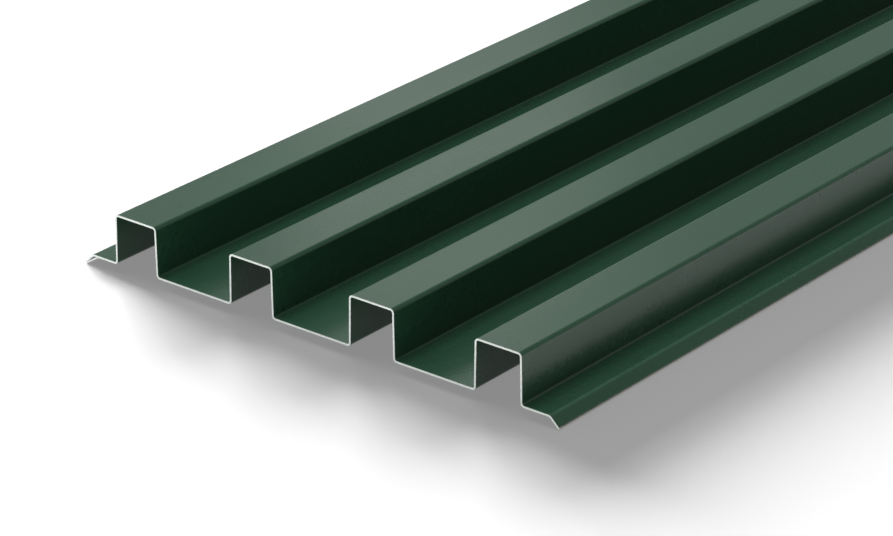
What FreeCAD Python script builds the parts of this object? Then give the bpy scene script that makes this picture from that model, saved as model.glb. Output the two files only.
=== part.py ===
import FreeCAD, Part
import math
import os

import Sketcher

# Box profile roofing sheet: one strip of coated steel, roll formed along its length.
# X runs across the sheet, Y along it, Z up. Z = 0 is the floor under the two edge lips,
# and X = 0, Y = 0 is the middle of the sheet.

doc = FreeCAD.newDocument("RoofingSheet")

# Driving sizes: millimetres, degrees and one count
sheet_length = 2000.0     # along the ribs
sheet_thickness = 1.5     # steel with its coating
rib_count = 4             # ribs across the sheet
rib_pitch = 115.0         # rib to rib
rib_depth = 40.0          # pan top face to crown top face
crown_width = 41.5        # across the outside corners of the crown
web_lean = 1.0            # degrees each web leans out of upright
bend_radius = 1.8         # inside radius of every bend
flange_width = 24.5       # top face, from the last web to the lip bend
lip_length = 11.5         # top face of the lip, from its bend to its edge
lip_angle = 43.0          # degrees the lip turns down from the flange

sizes = doc.addObject("Spreadsheet::Sheet", "Sizes")
driving_sizes = {
    "sheet_length": sheet_length,
    "sheet_thickness": sheet_thickness,
    "rib_count": rib_count,
    "rib_pitch": rib_pitch,
    "rib_depth": rib_depth,
    "crown_width": crown_width,
    "web_lean": web_lean,
    "bend_radius": bend_radius,
    "flange_width": flange_width,
    "lip_length": lip_length,
    "lip_angle": lip_angle,
}
for row, (alias, value) in enumerate(driving_sizes.items(), start=1):
    sizes.set(f"A{row}", alias.replace("_", " "))
    sizes.set(f"B{row}", str(value))
    sizes.setAlias(f"B{row}", alias)
doc.recompute()

# Formulas shared by the sketches, in terms of the cells
T = "Sizes.sheet_thickness"
INSIDE = "Sizes.bend_radius"
OUTSIDE = "(Sizes.bend_radius + Sizes.sheet_thickness)"
LEAN = "(Sizes.web_lean * 1 deg)"
TURN = "(Sizes.lip_angle * 1 deg)"
PAN_TOP = f"(Sizes.lip_length * sin({TURN}) + {T} * cos({TURN}))"
BEND_SETBACK = f"tan(45 deg - {LEAN} / 2)"
FIRST_RIB = "((Sizes.rib_count - 1) * Sizes.rib_pitch / 2)"
WEB_FOOT = f"(Sizes.crown_width / 2 + Sizes.rib_depth * tan({LEAN}))"
BEND_FOOT = f"({WEB_FOOT} + {INSIDE} * {BEND_SETBACK})"

# The same lengths as numbers, which place the sketch lines before they are constrained
inside = bend_radius
outside = bend_radius + sheet_thickness
lean = math.radians(web_lean)
turn = math.radians(lip_angle)
pan_top = lip_length * math.sin(turn) + sheet_thickness * math.cos(turn)
crown_top = pan_top + rib_depth
bend_setback = math.tan(math.pi / 4 - lean / 2)
first_rib = (rib_count - 1) * rib_pitch / 2
web_foot = crown_width / 2 + rib_depth * math.tan(lean)
bend_foot = web_foot + inside * bend_setback

# How a constraint names a point of a line or arc
START, END, CENTRE = range(1, 4)

body = doc.addObject("PartDesign::Body", "roofing_sheet")
body.Label = "roofing_sheet"


def origin_part(role):
    for feature in body.Origin.OriginFeatures:
        if feature.Role == role:
            return feature
    raise ValueError("no origin feature " + role)


def section_sketch(name):
    # A section is drawn across the sheet, on the upright plane at mid length
    sketch = body.newObject("Sketcher::SketchObject", name)
    sketch.AttachmentSupport = (origin_part("XZ_Plane"), [""])
    sketch.MapMode = "FlatFace"
    return sketch


def line(sketch, start, end):
    first = FreeCAD.Vector(start[0], start[1], 0)
    last = FreeCAD.Vector(end[0], end[1], 0)
    return sketch.addGeometry(Part.LineSegment(first, last), False)


def arc(sketch, centre, radius, begin, finish):
    # Angles in radians, anticlockwise from begin to finish
    middle = FreeCAD.Vector(centre[0], centre[1], 0)
    circle = Part.Circle(middle, FreeCAD.Vector(0, 0, 1), radius)
    return sketch.addGeometry(Part.ArcOfCircle(circle, begin, finish), False)


def join(sketch, first, first_end, second, second_end):
    sketch.addConstraint(Sketcher.Constraint("Coincident", first, first_end, second, second_end))


def run_on(sketch, first, first_end, second, second_end):
    # The two meet at this point and share a tangent there
    sketch.addConstraint(Sketcher.Constraint("Tangent", first, first_end, second, second_end))


def bind(sketch, constraint, name, formula):
    number = sketch.addConstraint(constraint)
    sketch.renameConstraint(number, name)
    sketch.setExpression("Constraints." + name, formula)


def on_circle(centre, radius, angle):
    return (centre[0] + radius * math.cos(angle), centre[1] + radius * math.sin(angle))


def pad_along_sheet(sketch, name):
    pad = body.newObject("PartDesign::Pad", name)
    pad.Profile = sketch
    pad.Midplane = True
    pad.setExpression("Length", "Sizes.sheet_length")
    pad.Refine = True
    sketch.Visibility = False
    return pad


# One rib: crown, two webs and the four bends that join them to each other and to the pans
rib = section_sketch("RibSection")
rib_x = -first_rib
top_reach = crown_width / 2 - outside * bend_setback
sides = {}
for side, sign in (("Left", -1), ("Right", 1)):
    top = (rib_x + sign * top_reach, crown_top - outside)
    foot = (rib_x + sign * bend_foot, pan_top + inside)
    if sign > 0:
        top_span = (lean, math.pi / 2)
        foot_span = (math.pi + lean, 3 * math.pi / 2)
        top_web = lean
        foot_web = math.pi + lean
    else:
        top_span = (math.pi / 2, math.pi - lean)
        foot_span = (3 * math.pi / 2, 2 * math.pi - lean)
        top_web = math.pi - lean
        foot_web = -lean
    sides[side] = {
        "outer_top": arc(rib, top, outside, *top_span),
        "inner_top": arc(rib, top, inside, *top_span),
        "inner_foot": arc(rib, foot, inside, *foot_span),
        "outer_foot": arc(rib, foot, outside, *foot_span),
        "outer_web": line(rib, on_circle(top, outside, top_web), on_circle(foot, inside, foot_web)),
        "inner_web": line(rib, on_circle(top, inside, top_web), on_circle(foot, outside, foot_web)),
        "cut": line(rib, (foot[0], pan_top), (foot[0], pan_top - sheet_thickness)),
    }
crown = line(rib, (rib_x - top_reach, crown_top), (rib_x + top_reach, crown_top))
crown_under = line(
    rib,
    (rib_x - top_reach, crown_top - sheet_thickness),
    (rib_x + top_reach, crown_top - sheet_thickness),
)

for side, parts in sides.items():
    # Which end of an arc or line touches its neighbour differs between the two sides
    right = side == "Right"
    to_web = START if right else END
    to_flat = END if right else START
    foot_to_web = START if right else END
    foot_to_pan = END if right else START
    crown_end = END if right else START
    run_on(rib, crown, crown_end, parts["outer_top"], to_flat)
    run_on(rib, crown_under, crown_end, parts["inner_top"], to_flat)
    run_on(rib, parts["outer_top"], to_web, parts["outer_web"], START)
    run_on(rib, parts["inner_top"], to_web, parts["inner_web"], START)
    run_on(rib, parts["outer_web"], END, parts["inner_foot"], foot_to_web)
    run_on(rib, parts["inner_web"], END, parts["outer_foot"], foot_to_web)
    join(rib, parts["inner_foot"], foot_to_pan, parts["cut"], START)
    join(rib, parts["outer_foot"], foot_to_pan, parts["cut"], END)
    join(rib, parts["outer_top"], CENTRE, parts["inner_top"], CENTRE)
    join(rib, parts["inner_foot"], CENTRE, parts["outer_foot"], CENTRE)
    rib.addConstraint(Sketcher.Constraint("Vertical", parts["cut"]))
    rib.addConstraint(
        Sketcher.Constraint("Vertical", parts["inner_foot"], CENTRE, parts["inner_foot"], foot_to_pan)
    )
    bind(rib, Sketcher.Constraint("Radius", parts["outer_top"], outside), "OuterTop" + side, OUTSIDE)
    bind(rib, Sketcher.Constraint("Radius", parts["inner_top"], inside), "InnerTop" + side, INSIDE)
    bind(rib, Sketcher.Constraint("Radius", parts["inner_foot"], inside), "InnerFoot" + side, INSIDE)
    bind(rib, Sketcher.Constraint("Radius", parts["outer_foot"], outside), "OuterFoot" + side, OUTSIDE)
    bind(
        rib,
        Sketcher.Constraint("DistanceY", -1, 1, parts["inner_foot"], foot_to_pan, pan_top),
        "PanTop" + side,
        PAN_TOP,
    )
rib.addConstraint(Sketcher.Constraint("Horizontal", crown))
bind(
    rib,
    Sketcher.Constraint("DistanceY", -1, 1, crown, START, crown_top),
    "CrownTop",
    f"{PAN_TOP} + Sizes.rib_depth",
)
for side, end, sign in (("Left", START, "+"), ("Right", END, "-")):
    # Signed distances: how far this end of the crown's flat lies left of the middle
    reach = rib_x + (top_reach if side == "Right" else -top_reach)
    bind(
        rib,
        Sketcher.Constraint("DistanceX", crown, end, -1, 1, -reach),
        "CrownEnd" + side,
        f"{FIRST_RIB} {sign} (Sizes.crown_width / 2 - {OUTSIDE} * {BEND_SETBACK})",
    )
    bind(
        rib,
        Sketcher.Constraint("DistanceX", sides[side]["cut"], START, -1, 1,
                            first_rib + (-bend_foot if side == "Right" else bend_foot)),
        "Foot" + side,
        f"{FIRST_RIB} {sign} {BEND_FOOT}",
    )

rib_pad = pad_along_sheet(rib, "Rib")
doc.recompute()


def repeat_across(feature, name, count, span):
    pattern = body.newObject("PartDesign::LinearPattern", name)
    pattern.Originals = [feature]
    pattern.Direction = (origin_part("X_Axis"), [""])
    pattern.setExpression("Length", span)
    pattern.setExpression("Occurrences", count)
    pattern.Refine = True
    body.Tip = pattern
    return pattern


rib_row = repeat_across(
    rib_pad, "RibRow", "Sizes.rib_count", "(Sizes.rib_count - 1) * Sizes.rib_pitch"
)
doc.recompute()

# Flat pans between the ribs
pan = section_sketch("PanSection")
pan_left = -first_rib + bend_foot
pan_right = -first_rib + rib_pitch - bend_foot
pan_bottom = pan_top - sheet_thickness
pan_face = line(pan, (pan_left, pan_top), (pan_right, pan_top))
pan_end = line(pan, (pan_right, pan_top), (pan_right, pan_bottom))
pan_under = line(pan, (pan_right, pan_bottom), (pan_left, pan_bottom))
pan_start = line(pan, (pan_left, pan_bottom), (pan_left, pan_top))
join(pan, pan_face, END, pan_end, START)
join(pan, pan_end, END, pan_under, START)
join(pan, pan_under, END, pan_start, START)
join(pan, pan_start, END, pan_face, START)
pan.addConstraint(Sketcher.Constraint("Horizontal", pan_face))
pan.addConstraint(Sketcher.Constraint("Horizontal", pan_under))
pan.addConstraint(Sketcher.Constraint("Vertical", pan_end))
pan.addConstraint(Sketcher.Constraint("Vertical", pan_start))
bind(pan, Sketcher.Constraint("DistanceY", -1, 1, pan_face, START, pan_top), "PanTop", PAN_TOP)
bind(
    pan,
    Sketcher.Constraint("DistanceY", pan_end, END, pan_end, START, sheet_thickness),
    "Thickness",
    T,
)
bind(
    pan,
    Sketcher.Constraint("DistanceX", pan_face, START, -1, 1, -pan_left),
    "PanLeft",
    f"{FIRST_RIB} - {BEND_FOOT}",
)
bind(
    pan,
    Sketcher.Constraint("DistanceX", pan_face, START, pan_face, END, pan_right - pan_left),
    "PanWidth",
    f"Sizes.rib_pitch - 2 * {BEND_FOOT}",
)
pan_pad = pad_along_sheet(pan, "Pan")
doc.recompute()
pan_row = repeat_across(
    pan_pad, "PanRow", "Sizes.rib_count - 1", "(Sizes.rib_count - 2) * Sizes.rib_pitch"
)
doc.recompute()

# Edge flange outside the last rib, with the lip turned down along it
edge = section_sketch("EdgeSection")
edge_start = first_rib + bend_foot
lip_setback = outside * math.tan(turn / 2)
lip_corner = first_rib + web_foot + flange_width
lip_centre = (lip_corner - lip_setback, pan_top - outside)
lip_span = (math.pi / 2 - turn, math.pi / 2)
lip_reach = (math.cos(turn), -math.sin(turn))
lip_flat = lip_length - lip_setback
upper_bend_end = on_circle(lip_centre, outside, lip_span[0])
lower_bend_end = on_circle(lip_centre, inside, lip_span[0])
upper_tip = (upper_bend_end[0] + lip_flat * lip_reach[0], upper_bend_end[1] + lip_flat * lip_reach[1])
lower_tip = (lower_bend_end[0] + lip_flat * lip_reach[0], lower_bend_end[1] + lip_flat * lip_reach[1])
flange_face = line(edge, (edge_start, pan_top), (lip_centre[0], pan_top))
upper_bend = arc(edge, lip_centre, outside, *lip_span)
lip_face = line(edge, upper_bend_end, upper_tip)
lip_edge = line(edge, upper_tip, lower_tip)
lip_under = line(edge, lower_tip, lower_bend_end)
lower_bend = arc(edge, lip_centre, inside, *lip_span)
flange_under = line(edge, (lip_centre[0], pan_bottom), (edge_start, pan_bottom))
flange_start = line(edge, (edge_start, pan_bottom), (edge_start, pan_top))
run_on(edge, flange_face, END, upper_bend, END)
run_on(edge, upper_bend, START, lip_face, START)
join(edge, lip_face, END, lip_edge, START)
join(edge, lip_edge, END, lip_under, START)
run_on(edge, lip_under, END, lower_bend, START)
run_on(edge, lower_bend, END, flange_under, START)
join(edge, flange_under, END, flange_start, START)
join(edge, flange_start, END, flange_face, START)
join(edge, upper_bend, CENTRE, lower_bend, CENTRE)
edge.addConstraint(Sketcher.Constraint("Horizontal", flange_face))
edge.addConstraint(Sketcher.Constraint("Horizontal", flange_under))
edge.addConstraint(Sketcher.Constraint("Vertical", flange_start))
edge.addConstraint(Sketcher.Constraint("Parallel", lip_face, lip_under))
edge.addConstraint(Sketcher.Constraint("Perpendicular", lip_face, lip_edge))
bind(edge, Sketcher.Constraint("Radius", upper_bend, outside), "LipOutside", OUTSIDE)
bind(edge, Sketcher.Constraint("Radius", lower_bend, inside), "LipInside", INSIDE)
bind(edge, Sketcher.Constraint("DistanceY", -1, 1, flange_face, START, pan_top), "PanTop", PAN_TOP)
bind(
    edge,
    Sketcher.Constraint("DistanceX", -1, 1, flange_face, START, edge_start),
    "FlangeStart",
    f"{FIRST_RIB} + {BEND_FOOT}",
)
bind(
    edge,
    Sketcher.Constraint("DistanceX", -1, 1, flange_face, END, lip_centre[0]),
    "FlangeEnd",
    f"{FIRST_RIB} + {WEB_FOOT} + Sizes.flange_width - {OUTSIDE} * tan({TURN} / 2)",
)
bind(
    edge,
    Sketcher.Constraint("Angle", lip_face, -turn),
    "LipAngle",
    "-Sizes.lip_angle * 1 deg",
)
bind(
    edge,
    Sketcher.Constraint("Distance", lip_face, START, lip_face, END, lip_flat),
    "LipFlat",
    f"Sizes.lip_length - {OUTSIDE} * tan({TURN} / 2)",
)
edge_pad = pad_along_sheet(edge, "EdgeFlange")
doc.recompute()

# The other edge is the same, mirrored about the middle of the sheet
other_edge = body.newObject("PartDesign::Mirrored", "OtherEdgeFlange")
other_edge.Originals = [edge_pad]
other_edge.MirrorPlane = (origin_part("YZ_Plane"), [""])
other_edge.Refine = True
body.Tip = other_edge
doc.recompute()

# Every object must be up to date and the sheet one sound solid
for obj in doc.Objects:
    if "Invalid" in obj.State or "Error" in obj.State:
        raise RuntimeError(obj.Name + " failed: " + ", ".join(obj.State))
shape = body.Shape
if shape.isNull() or not shape.isValid():
    raise RuntimeError("roofing_sheet has no valid shape")
if len(shape.Solids) != 1:
    raise RuntimeError("roofing_sheet is not one solid")

os.makedirs("parts", exist_ok=True)
shape.exportStep("parts/roofing_sheet.step")
print("roofing_sheet", len(shape.Faces), "faces", round(shape.Volume / 1000, 2), "cm3")
box = shape.BoundBox
print("size", round(box.XLength, 3), round(box.YLength, 3), round(box.ZLength, 3), "from z", round(box.ZMin, 4))
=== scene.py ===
import math

import bpy
from mathutils import Matrix, Vector


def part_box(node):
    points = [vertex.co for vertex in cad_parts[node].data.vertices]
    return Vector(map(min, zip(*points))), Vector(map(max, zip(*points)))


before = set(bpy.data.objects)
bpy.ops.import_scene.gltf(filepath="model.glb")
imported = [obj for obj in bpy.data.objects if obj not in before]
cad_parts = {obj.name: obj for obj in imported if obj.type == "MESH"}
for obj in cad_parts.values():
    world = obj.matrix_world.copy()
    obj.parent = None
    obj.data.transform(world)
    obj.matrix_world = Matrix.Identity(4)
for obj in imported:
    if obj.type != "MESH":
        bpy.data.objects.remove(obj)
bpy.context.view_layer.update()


# The sheet: one strip of galvanised steel, coil coated moss green on both faces before it was
# roll formed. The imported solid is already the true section, so it keeps its mesh and gets its
# paint here, with the bare metal that the guillotine and the slitter left on its edges.
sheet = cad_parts["roofing_sheet"]
half_width, half_length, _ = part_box("roofing_sheet")[1]
lip_angle = math.radians(43)


class Wire:
    """One output of a shader node, so that sums on it read as Python."""

    def __init__(self, tree, socket=None):
        self.tree = tree
        self.socket = socket

    def node(self, kind, settings=None, inputs=None):
        made = self.tree.nodes.new(kind)
        for key, value in (settings or {}).items():
            setattr(made, key, value)
        for key, value in (inputs or {}).items():
            if isinstance(value, Wire):
                self.tree.links.new(value.socket, made.inputs[key])
            else:
                made.inputs[key].default_value = value
        return Wire(self.tree, made.outputs[0]) if made.outputs else None

    def output(self, name):
        return Wire(self.tree, self.socket.node.outputs[name])

    def maths(self, operation, *terms):
        return self.node("ShaderNodeMath", {"operation": operation}, dict(enumerate(terms)))

    def __add__(self, other):
        return self.maths("ADD", self, other)

    def __radd__(self, other):
        return self.maths("ADD", other, self)

    def __sub__(self, other):
        return self.maths("SUBTRACT", self, other)

    def __rsub__(self, other):
        return self.maths("SUBTRACT", other, self)

    def __mul__(self, other):
        return self.maths("MULTIPLY", self, other)

    def __rmul__(self, other):
        return self.maths("MULTIPLY", other, self)

    def __gt__(self, other):
        return self.maths("GREATER_THAN", self, other)

    def __lt__(self, other):
        return self.maths("LESS_THAN", self, other)

    def __abs__(self):
        return self.maths("ABSOLUTE", self)

    def at_least(self, other):
        return self.maths("MAXIMUM", self, other)

    def ramp(self, low, high, to_low=0.0, to_high=1.0):
        settings = {"clamp": True, "interpolation_type": "SMOOTHSTEP"}
        ends = {"From Min": low, "From Max": high, "To Min": to_low, "To Max": to_high}
        return self.node("ShaderNodeMapRange", settings, {"Value": self, **ends})

    def blend(self, first, second):
        colours = {0: self, 6: first, 7: second}
        return self.node("ShaderNodeMix", {"data_type": "RGBA"}, colours).output(2)

    def parts(self):
        split = self.node("ShaderNodeSeparateXYZ", None, {0: self})
        return [split.output(axis) for axis in "XYZ"]

    def stretched(self, scale):
        return self.node("ShaderNodeVectorMath", {"operation": "MULTIPLY"}, {0: self, 1: scale})

    def noise(self, scale, detail, roughness=0.5):
        grain = {"Vector": self, "Scale": scale, "Detail": detail, "Roughness": roughness}
        return self.node("ShaderNodeTexNoise", None, grain)


def new_material(name):
    material = bpy.data.materials.new(name)
    material.use_nodes = True
    material.node_tree.nodes.clear()
    return material, Wire(material.node_tree)


coating, wire = new_material("moss_green_coil_coating")
place = wire.node("ShaderNodeTexCoord").output("Object")
x, y, _ = place.parts()
normal_x, normal_y, normal_z = wire.node("ShaderNodeNewGeometry").output("Normal").parts()

# The paint was laid on a moving coil: cloudy tone over hands' breadths, faint lines the way the
# strip ran, and the fine orange peel of baked polyester.
moss_dark, moss_light = (0.0152, 0.0545, 0.0300, 1), (0.0184, 0.0625, 0.0338, 1)
# The lighter green below is a painted highlight for the lip bends.
bend_highlight_moss = (0.028, 0.088, 0.052, 1)
cloud = place.stretched((1.0, 0.25, 1.0)).noise(14.0, 3.0)
lines = place.stretched((1.0, 0.004, 1.0)).noise(900.0, 2.0)
peel = place.noise(520.0, 3.0, 0.6)
mottle = place.noise(160.0, 3.0, 0.55)
tone = cloud * 0.6 + mottle * 0.25 + lines * 0.15
moss = tone.ramp(0.35, 0.65).blend(moss_dark, moss_light)
# Over the upward-facing outside of each lip bend a lighter green is painted in as a highlight
# line, with a mottled edge. The bend lies between these two distances from the middle of the
# sheet, each given as a soft step.
bend_starts, bend_ends = (0.2168, 0.2176), (0.2190, 0.2199)
painted_bend_highlight = abs(x).ramp(*bend_starts) * (1 - abs(x).ramp(*bend_ends)) * (normal_z > 0.3)
film_height = peel * 0.35 + mottle * 0.55 + lines * 0.1
paint = wire.node(
    "ShaderNodeBsdfPrincipled",
    None,
    {
        "Base Color": (painted_bend_highlight * mottle.ramp(0.2, 0.6, 0.5, 1.0)).blend(moss, bend_highlight_moss),
        "Roughness": (cloud * 0.8 + mottle * 0.2).ramp(0.35, 0.65, 0.245, 0.305),
        "IOR": 1.4,
        "Normal": wire.node(
            "ShaderNodeBump",
            None,
            {"Strength": 0.6, "Distance": 0.0001, "Height": film_height},
        ),
    },
)

# Cut ends and slit edges: the steel shows bright where it was sheared, in fine upright lines. A
# slit edge is square to its lip, which is turned down.
steel_dark, steel_light = (0.58, 0.63, 0.60, 1), (0.74, 0.79, 0.76, 1)
shear = place.stretched((1.0, 1.0, 0.35)).noise(1500.0, 3.0, 0.7)
steel = wire.node(
    "ShaderNodeBsdfPrincipled",
    None,
    {
        "Base Color": shear.ramp(0.3, 0.7).blend(steel_dark, steel_light),
        "Metallic": 0.3,
        "Roughness": shear.ramp(0.3, 0.7, 0.55, 0.65),
    },
)
facing_out = abs(normal_x) * math.cos(lip_angle) - normal_z * math.sin(lip_angle)
slit_edge = (facing_out > 0.97) * (abs(x) > half_width - 0.0012)
sheared = (abs(normal_y) > 0.9).at_least(slit_edge)

# Beside those edges the blades chipped the film off the zinc, in a ragged border under 1 mm wide.
zinc_dark, zinc_light = (0.13, 0.12, 0.105, 1), (0.22, 0.21, 0.19, 1)
end_chip, lip_chip = 0.0007, 0.0016
chips = place.noise(700.0, 4.0, 0.7)
zinc = wire.node(
    "ShaderNodeBsdfPrincipled",
    None,
    {
        "Base Color": shear.ramp(0.3, 0.7).blend(zinc_dark, zinc_light),
        "Metallic": 0.3,
        "Roughness": chips.ramp(0.3, 0.7, 0.45, 0.6),
    },
)
chipped = (abs(y) + chips * end_chip > half_length - 0.00005).at_least(
    abs(x) + chips * lip_chip > half_width + 0.0001
)
coated = wire.node("ShaderNodeMixShader", None, {0: chipped, 1: paint, 2: zinc})
finish = wire.node("ShaderNodeMixShader", None, {0: sheared, 1: coated, 2: steel})
wire.node("ShaderNodeOutputMaterial", None, {"Surface": finish})

sheet.data.materials.clear()
sheet.data.materials.append(coating)


# The floor: a plain pale studio floor, which the sheet rests on with the edges of its two lips.
# It is a stage, a hair below the lips, and reaches far enough to meet the white background.
reach = 60.0
floor_mesh = bpy.data.meshes.new("floor")
floor_mesh.from_pydata(
    [(-reach, -reach, 0), (reach, -reach, 0), (reach, reach, 0), (-reach, reach, 0)],
    [],
    [(0, 1, 2, 3)],
)
floor = bpy.data.objects.new("floor", floor_mesh)
bpy.context.scene.collection.objects.link(floor)
floor.location.z = -0.0002

# What the floor gives to each kind of ray: a quarter of white to the camera, where the suns add
# the rest, more to light that has scattered, and most to the gloss of the paint. For all but the
# camera, the part under the sheet gives less than half of that, a painted shade, as it gets no
# light of its own.
to_camera, to_scattered, to_gloss = 0.25, 0.50, 0.88
pale, wire = new_material("pale_floor")
path = wire.node("ShaderNodeLightPath")
seen, mirrored = path.output("Is Camera Ray"), path.output("Is Glossy Ray")
floor_x, floor_y, _ = wire.node("ShaderNodeTexCoord").output("Object").parts()
# Painted shade: the sheet's footprint on the floor, where the glow is cut.
painted_shade_under_sheet = (abs(floor_x) < half_width) * (abs(floor_y) < half_length)
unseen = (to_scattered + mirrored * (to_gloss - to_scattered)) * (1 - painted_shade_under_sheet * 0.6)
level = unseen + seen * (to_camera - unseen)
glow = wire.node("ShaderNodeEmission", None, {"Color": level.blend((0, 0, 0, 1), (1, 1, 1, 1))})
matt = wire.node("ShaderNodeBsdfDiffuse", None, {"Color": (0.08, 0.08, 0.08, 1)})
surface = wire.node("ShaderNodeAddShader", None, {0: matt, 1: glow})
wire.node("ShaderNodeOutputMaterial", None, {"Surface": surface})
floor_mesh.materials.append(pale)

# Two low soft suns from behind on the left light the floor alone, and lay the sheet's shadow on it
# towards the viewer.
floor_only = bpy.data.collections.new("lit_by_floor_suns")
floor_only.objects.link(floor)
sun_height = math.radians(10)
for name, azimuth in (("floor_sun_left", 160), ("floor_sun_back", 140)):
    sun_data = bpy.data.lights.new(name, "SUN")
    sun_data.energy = 95.0
    sun_data.angle = math.radians(25)
    sun = bpy.data.objects.new(name, sun_data)
    bpy.context.scene.collection.objects.link(sun)
    sun.rotation_euler = (math.pi / 2 - sun_height, 0, math.radians(azimuth + 90))
    sun.light_linking.receiver_collection = floor_only


# The light: a white studio all round, brighter low down than high up in the gloss of the paint,
# and four soft lamps that light the sheet at a plain level.
studio_level = 0.175
world = bpy.data.worlds.new("studio")
bpy.context.scene.world = world
world.use_nodes = True
world.node_tree.nodes.clear()
wire = Wire(world.node_tree)
path = wire.node("ShaderNodeLightPath")
seen, mirrored = path.output("Is Camera Ray"), path.output("Is Glossy Ray")
_, _, rise = wire.node("ShaderNodeTexCoord").output("Generated").parts()
level = seen.at_least(mirrored * rise.ramp(0.45, 0.7, 0.48, 0.20)).at_least(studio_level)
sky = wire.node("ShaderNodeBackground", None, {"Color": level.blend((0, 0, 0, 1), (1, 1, 1, 1))})
wire.node("ShaderNodeOutputWorld", None, {"Surface": sky})


def soft_lamp(name, side, energy, where):
    lamp_data = bpy.data.lights.new(name, "AREA")
    lamp_data.shape = "SQUARE"
    lamp_data.size = side
    lamp_data.energy = energy
    lamp = bpy.data.objects.new(name, lamp_data)
    bpy.context.scene.collection.objects.link(lamp)
    lamp.location = where
    away = lamp.location - Vector((0, -0.5, 0))
    lamp.rotation_euler = away.to_track_quat("Z", "Y").to_euler()


soft_lamp("overhead_lamp", 2.0, 91.0, (-0.25, -0.5, 4.0))
soft_lamp("left_lamp", 4.0, 140.0, (-2.57, -0.5, 3.06))
soft_lamp("back_lamp", 0.4, 0.55, (-1.155, 0.590, 0.862))
soft_lamp("front_lamp", 1.5, 60.0, (0.0, -5.0, 0.4))


# The camera: it stands off the right-hand corner of the cut end, with a long lens, and is turned
# a little about its own line of sight.
camera_data = bpy.data.cameras.new("camera")
camera_data.lens = 151.94
camera_data.sensor_width = 36.0
camera_data.clip_start = 0.05
camera_data.clip_end = 200.0
camera = bpy.data.objects.new("camera", camera_data)
bpy.context.scene.collection.objects.link(camera)
stand = Vector((1.62926, -2.86216, 1.18251))
aim = Vector((0.12656, -1.0, 0.09512)) - stand
level_view = Matrix.Translation(stand) @ aim.to_track_quat("-Z", "Y").to_matrix().to_4x4()
camera.matrix_world = level_view @ Matrix.Rotation(math.radians(-0.15), 4, "Z")
bpy.context.scene.camera = camera
bpy.context.scene.view_settings.view_transform = "Standard"
